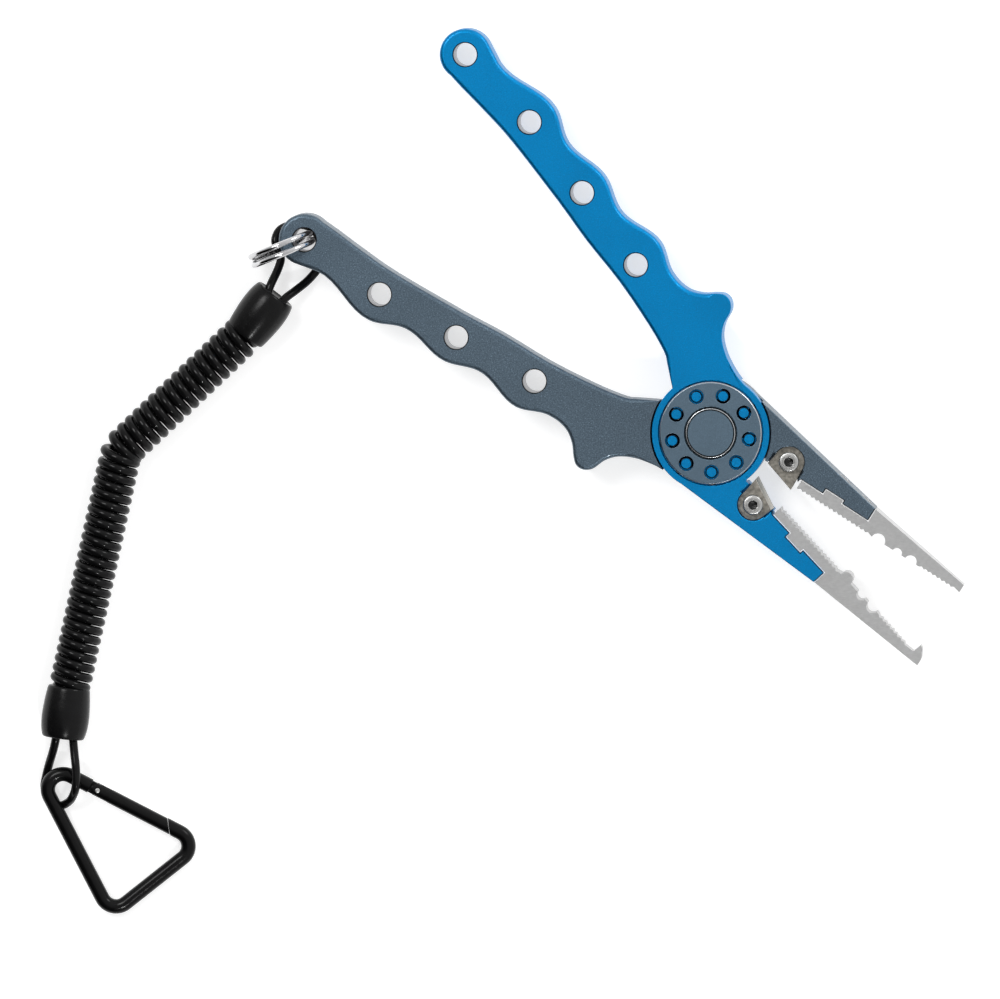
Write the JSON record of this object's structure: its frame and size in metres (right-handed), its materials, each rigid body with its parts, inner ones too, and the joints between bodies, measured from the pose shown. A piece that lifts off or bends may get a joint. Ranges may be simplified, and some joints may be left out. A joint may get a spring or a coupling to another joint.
{
  "type": "fishing pliers",
  "caption": "Flat aluminium fishing pliers with toothed steel jaws and wire cutters, opened by a pivot spring, with a coiled lanyard from the handle's split ring to a snap hook.",
  "frame": {"origin": "centre of the pivot nut's flat outer face, on the pivot axis, in the plane of the levers' backs", "axes": "+Z along the pivot axis from the back to the cover, +X towards the jaws, +Y towards the blue handle; the pliers stand at their open stop"},
  "size_m": [0.2281, 0.2184, 0.0169],
  "materials": {
    "grey_anodised": "satin bead-blasted anodised",
    "blue_anodised": "satin bead-blasted anodised",
    "cover_anodised": "fine satin anodised",
    "jaw_steel": "fine brushed satin",
    "cutter_metal": "matte ground hard metal",
    "screw_steel": "turned, bright",
    "spring_steel": "drawn wire",
    "bushing_bronze": "sintered",
    "washer_plastic": "matte",
    "ring_chrome": "polished",
    "cord": "glossy",
    "cuff": "semi-gloss moulded",
    "hook_coating": "glossy coated wire"
  },
  "bodies": {
    "grey_half": {"grey_lever": "grey_anodised", "grey_jaw_plate": "jaw_steel", "grey_plate_screws": "screw_steel", "grey_cutter": "cutter_metal", "grey_cutter_screw": "screw_steel", "pivot_bolt": "cover_anodised", "pivot_nut": "cover_anodised", "friction_washer": "washer_plastic", "torsion_spring": "spring_steel"},
    "blue_half": {"blue_lever": "blue_anodised", "blue_jaw_plate": "jaw_steel", "blue_plate_screws": "screw_steel", "blue_cutter": "cutter_metal", "blue_cutter_screw": "screw_steel", "pivot_cover": "cover_anodised", "pivot_bushing": "bushing_bronze"},
    "ring": {"split_ring": "ring_chrome"},
    "lanyard_top": {"upper_cord_loop": "cord", "upper_cuff": "cuff", "coil_upper": "cord"},
    "lanyard_middle": {"coil_lower": "cord"},
    "lanyard_end": {"lower_cuff": "cuff", "lower_cord_loop": "cord"},
    "hook": {"snap_hook": "hook_coating", "gate_pin": "screw_steel"},
    "gate": {"snap_gate": "hook_coating"}
  },
  "joints": [
    {"name": "pivot", "type": "hinge", "parent": "grey_half", "child": "blue_half", "pos_m": [0, 0, 0.0048], "axis": [0, 0, 1], "range_deg": [0, 14.4], "stiffness_Nm_per_rad": 0.05, "springref_deg": -11.46, "deforming": ["torsion_spring"]},
    {"name": "ring_swing", "type": "hinge", "parent": "grey_half", "child": "ring", "pos_m": [-0.09971, 0.04692, 0.0048], "axis": [0, 0, 1], "range_deg": [-30, 13]},
    {"name": "loop_swing", "type": "hinge", "parent": "ring", "child": "lanyard_top", "pos_m": [-0.10717, 0.04414, 0], "axis": [0, 0, 1], "range_deg": [-10, 6]},
    {"name": "coil_bend", "type": "hinge", "parent": "lanyard_top", "child": "lanyard_middle", "pos_m": [-0.14546, -0.00532, 0.0033], "axis": [0, 0, 1], "range_deg": [-30, 18]},
    {"name": "coil_stretch", "type": "slide", "parent": "lanyard_middle", "child": "lanyard_end", "axis": [-0.2215, -0.9751, 0], "range_m": [0, 0.08], "stiffness_N_per_m": 20},
    {"name": "hook_swing", "type": "hinge", "parent": "lanyard_end", "child": "hook", "pos_m": [-0.1602, -0.0891, 0.00155], "axis": [0, 0, 1], "range_deg": [-12, 8]},
    {"name": "gate_open", "type": "hinge", "parent": "hook", "child": "gate", "pos_m": [-0.15172, -0.08922, 0.00103], "axis": [-0.0604, 0.0313, -0.9977], "range_deg": [0, 20], "stiffness_Nm_per_rad": 0.02, "springref_deg": -11.46}
  ]
}
